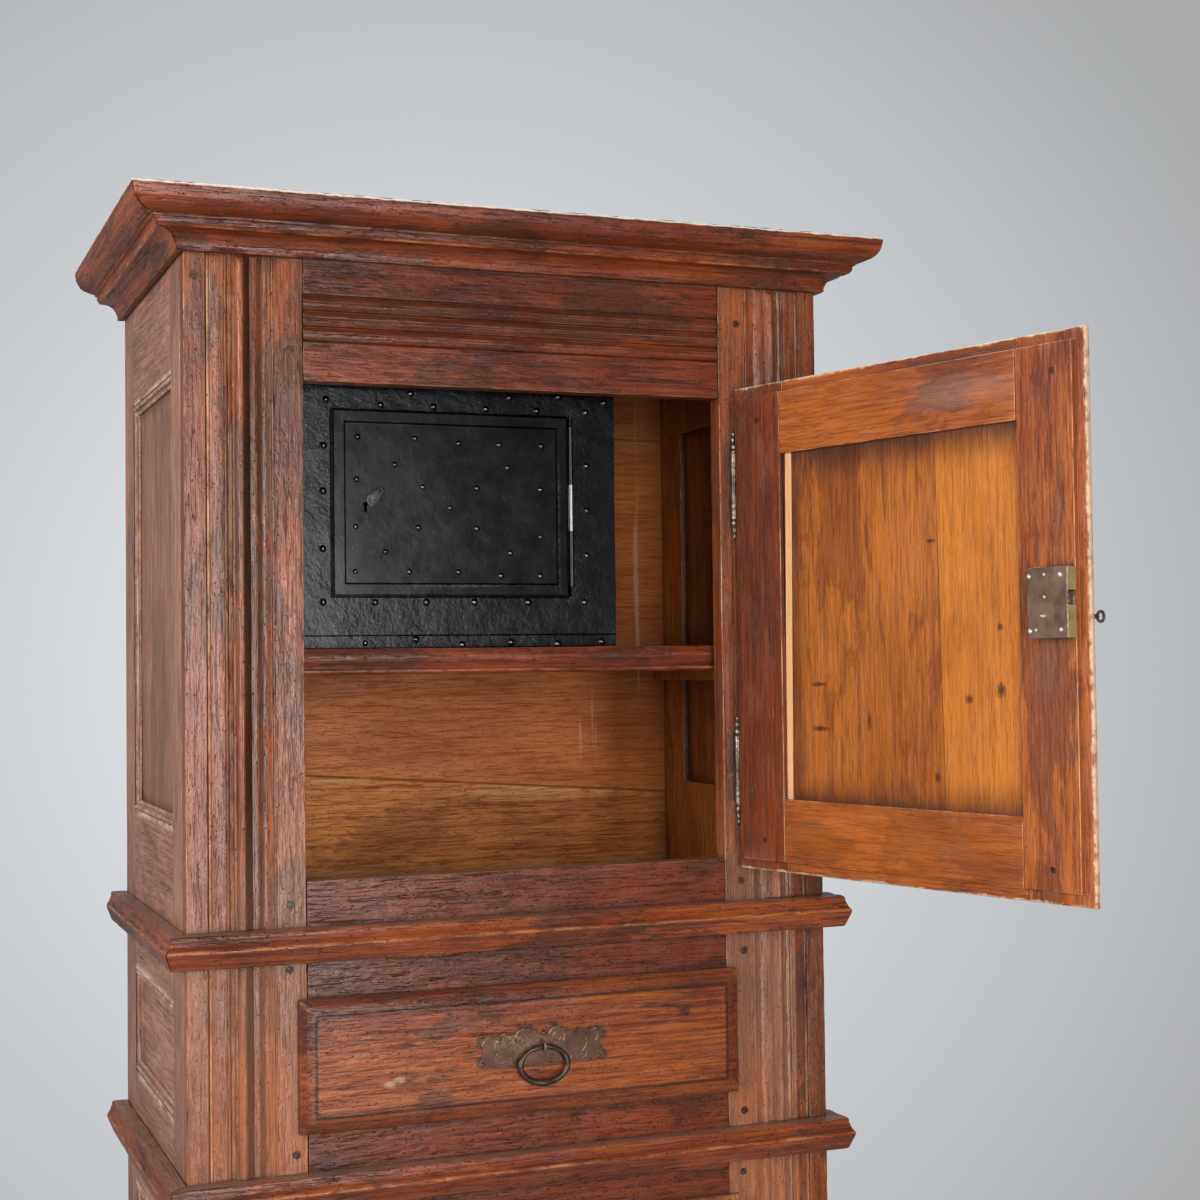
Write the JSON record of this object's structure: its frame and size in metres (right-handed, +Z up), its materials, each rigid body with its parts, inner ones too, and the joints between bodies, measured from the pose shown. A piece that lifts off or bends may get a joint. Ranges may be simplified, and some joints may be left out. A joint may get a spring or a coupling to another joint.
{
  "type": "cupboard",
  "caption": "Tall oak cupboard with moulded cornice and waist mouldings, an iron-clad safe behind the upper door, a ring-pull drawer and a lower cupboard.",
  "frame": {"origin": "on the floor, under the plinth, at the middle of the body's front plane", "axes": "+X to the right seen from the front, +Y to the back, +Z up"},
  "size_m": [1.1259, 1.2038, 2.05],
  "materials": {
    "waxed_oak": "satin",
    "bare_oak": "matte",
    "black_iron": "satin",
    "old_iron": "satin",
    "worn_steel": "satin"
  },
  "bodies": {
    "cabinet": {"plinth": "waxed_oak", "post_left": "waxed_oak", "post_right": "waxed_oak", "frieze_rail": "waxed_oak", "upper_sill_rail": "waxed_oak", "lower_head_rail": "waxed_oak", "bottom_rail": "waxed_oak", "side_frame_left": "waxed_oak", "side_frame_right": "waxed_oak", "side_panel_upper_left": "waxed_oak", "side_panel_upper_right": "waxed_oak", "side_panel_lower_left": "waxed_oak", "side_panel_lower_right": "waxed_oak", "back_boards": "bare_oak", "top_board": "waxed_oak", "upper_floor": "bare_oak", "drawer_floor": "bare_oak", "lower_floor": "bare_oak", "shelf": "waxed_oak", "cornice_front": "waxed_oak", "cornice_left": "waxed_oak", "cornice_right": "waxed_oak", "waist_upper_front": "waxed_oak", "waist_upper_left": "waxed_oak", "waist_upper_right": "waxed_oak", "waist_lower_front": "waxed_oak", "waist_lower_left": "waxed_oak", "waist_lower_right": "waxed_oak", "upper_door_hinge_upper_post_half": "old_iron", "upper_door_hinge_lower_post_half": "old_iron", "lower_door_hinge_upper_post_half": "old_iron", "lower_door_hinge_lower_post_half": "old_iron", "safe_case": "black_iron"},
    "upper_door": {"upper_door_hinge_stile": "waxed_oak", "upper_door_lock_stile": "waxed_oak", "upper_door_top_rail": "waxed_oak", "upper_door_bottom_rail": "waxed_oak", "upper_door_panel": "waxed_oak", "upper_door_hinge_upper_door_half": "old_iron", "upper_door_hinge_lower_door_half": "old_iron", "upper_lock_case": "worn_steel"},
    "door_key": {"key": "old_iron"},
    "lock_bolt": {"upper_lock_bolt": "worn_steel"},
    "lower_door": {"lower_door_hinge_stile": "waxed_oak", "lower_door_lock_stile": "waxed_oak", "lower_door_top_rail": "waxed_oak", "lower_door_bottom_rail": "waxed_oak", "lower_door_panel": "waxed_oak", "lower_door_hinge_upper_door_half": "old_iron", "lower_door_hinge_lower_door_half": "old_iron", "lower_lock_case": "worn_steel"},
    "drawer": {"drawer_front": "waxed_oak", "drawer_side_left": "bare_oak", "drawer_side_right": "bare_oak", "drawer_back": "bare_oak", "drawer_bottom": "bare_oak", "pull_plate": "old_iron"},
    "ring": {"pull_ring": "old_iron"},
    "safe_leaf": {"safe_door": "black_iron"},
    "keyhole_cover": {"safe_keyhole_cover": "black_iron"}
  },
  "joints": [
    {"name": "upper_door_swing", "type": "hinge", "parent": "cabinet", "child": "upper_door", "pos_m": [0.334, -0.0055, 1.46775], "axis": [0, 0, 1], "range_deg": [-105, 30]},
    {"name": "key_turn", "type": "hinge", "parent": "upper_door", "child": "door_key", "pos_m": [0.4867, -0.59662, 1.4685], "axis": [0.9659, 0.2588, 0], "range_deg": [0, 360]},
    {"name": "bolt_slide", "type": "slide", "parent": "upper_door", "child": "lock_bolt", "axis": [0.2588, -0.9659, 0], "range_m": [0, 0.01]},
    {"name": "drawer_slide", "type": "slide", "parent": "cabinet", "child": "drawer", "axis": [0, -1, 0], "range_m": [0, 0.34]},
    {"name": "ring_swing", "type": "hinge", "parent": "drawer", "child": "ring", "pos_m": [0.016, -0.0289, 0.8821], "axis": [-1, 0, 0], "range_deg": [0, 95]},
    {"name": "lower_door_swing", "type": "hinge", "parent": "cabinet", "child": "lower_door", "pos_m": [0.334, -0.0055, 0.4125], "axis": [0, 0, 1], "range_deg": [0, 120]},
    {"name": "safe_door_swing", "type": "hinge", "parent": "cabinet", "child": "safe_leaf", "pos_m": [0.098, 0.0554, 1.6473], "axis": [0, 0, 1], "range_deg": [0, 100]},
    {"name": "cover_swing", "type": "hinge", "parent": "safe_leaf", "child": "keyhole_cover", "pos_m": [-0.191, 0.0539, 1.6643], "axis": [0, 1, 0], "range_deg": [-42, 60]}
  ],
  "couplings": [
    {"joint": "key_turn", "follows": "bolt_slide", "rad_per_m": 628.32}
  ]
}
